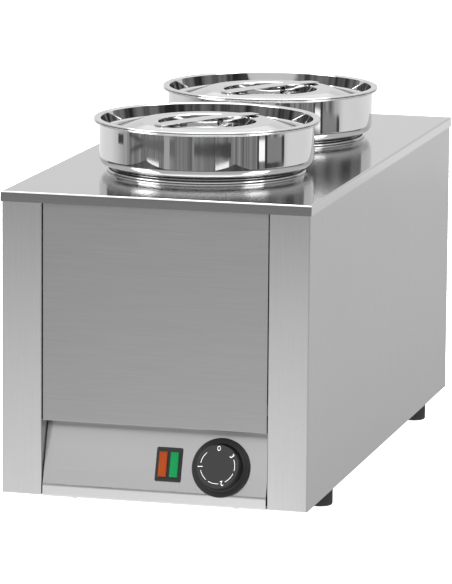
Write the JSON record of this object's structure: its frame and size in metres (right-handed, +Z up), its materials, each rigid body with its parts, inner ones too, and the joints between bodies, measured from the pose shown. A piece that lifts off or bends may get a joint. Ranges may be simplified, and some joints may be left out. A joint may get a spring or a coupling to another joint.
{
  "type": "soup kettle",
  "caption": "Counter-top stainless bain-marie: round lidded pots hang in heated wells in a box casing, with a leaning control fascia, dial knob and pilot lamps.",
  "frame": {"origin": "on the table, under the middle of the casing", "axes": "+Z up; -Y towards the user, who faces the knob; +X to the user's right"},
  "size_m": [0.285, 0.6069, 0.3379],
  "materials": {
    "brushed_steel": "satin brushed stainless steel sheet",
    "polished_steel": "mirror-polished stainless steel",
    "zinc_steel": "dull zinc-plated steel",
    "black_plastic": "satin moulded black plastic",
    "black_rubber": "matt moulded rubber",
    "amber_lens": "translucent moulded lens",
    "green_lens": "translucent moulded lens",
    "lamp_glass": "clear glass",
    "ceramic_fibre": "fibrous insulation",
    "copper_tube": "drawn copper",
    "bakelite": "moulded phenolic",
    "white_ceramic": "glazed ceramic",
    "brown_lead": "silicone insulation",
    "blue_lead": "silicone insulation"
  },
  "bodies": {
    "housing": {"base_plate": "zinc_steel", "bulb_clip": "zinc_steel", "cable_gland": "black_plastic", "capillary_tube": "copper_tube", "control_fascia": "brushed_steel", "earth_stud": "zinc_steel", "element_bar_front": "zinc_steel", "element_bar_rear": "zinc_steel", "element_nut_front": "zinc_steel", "element_nut_rear": "zinc_steel", "fascia_screw_left": "zinc_steel", "fascia_screw_right": "zinc_steel", "foot_front_left": "black_rubber", "foot_front_right": "black_rubber", "foot_rear_left": "black_rubber", "foot_rear_right": "black_rubber", "foot_screw_front_left": "zinc_steel", "foot_screw_front_right": "zinc_steel", "foot_screw_rear_left": "zinc_steel", "foot_screw_rear_right": "zinc_steel", "front_panel": "brushed_steel", "gland_locknut": "black_plastic", "heater_lead_front": "blue_lead", "heater_lead_rear": "blue_lead", "heating_element_front": "zinc_steel", "heating_element_rear": "zinc_steel", "insulation_front": "ceramic_fibre", "insulation_rear": "ceramic_fibre", "lamp_bezel": "black_plastic", "lamp_lens_amber": "amber_lens", "lamp_lens_green": "green_lens", "neon_lamp_amber": "lamp_glass", "neon_lamp_green": "lamp_glass", "overheat_cutout_front": "bakelite", "overheat_cutout_rear": "bakelite", "rear_panel": "brushed_steel", "rear_screw_high_left": "zinc_steel", "rear_screw_high_right": "zinc_steel", "rear_screw_low_left": "zinc_steel", "rear_screw_low_right": "zinc_steel", "sensor_bulb": "copper_tube", "side_panel_left": "brushed_steel", "side_panel_right": "brushed_steel", "supply_lead": "brown_lead", "terminal_block": "white_ceramic", "thermostat_body": "bakelite", "top_cover": "brushed_steel", "well_front": "brushed_steel", "well_rear": "brushed_steel"},
    "front_pot": {"pot_front": "polished_steel"},
    "rear_pot": {"pot_rear": "polished_steel"},
    "front_lid": {"lid_front": "polished_steel", "lid_handle_front": "polished_steel"},
    "rear_lid": {"lid_rear": "polished_steel", "lid_handle_rear": "polished_steel"},
    "control_knob": {"control_knob": "black_plastic", "thermostat_shaft": "zinc_steel"}
  },
  "joints": [
    {"name": "front_pot_lift", "type": "slide", "parent": "housing", "child": "front_pot", "axis": [0, 0, 1], "range_m": [0, 0.2]},
    {"name": "rear_pot_lift", "type": "slide", "parent": "housing", "child": "rear_pot", "axis": [0, 0, 1], "range_m": [0, 0.2]},
    {"name": "front_lid_lift", "type": "slide", "parent": "front_pot", "child": "front_lid", "axis": [0, 0, 1], "range_m": [0, 0.06]},
    {"name": "rear_lid_lift", "type": "slide", "parent": "rear_pot", "child": "rear_lid", "axis": [0, 0, 1], "range_m": [0, 0.06]},
    {"name": "knob_turn", "type": "hinge", "parent": "housing", "child": "control_knob", "pos_m": [0.0604, -0.28561, 0.04772], "axis": [0, 0.9488, -0.3157], "range_deg": [0, 308]}
  ]
}
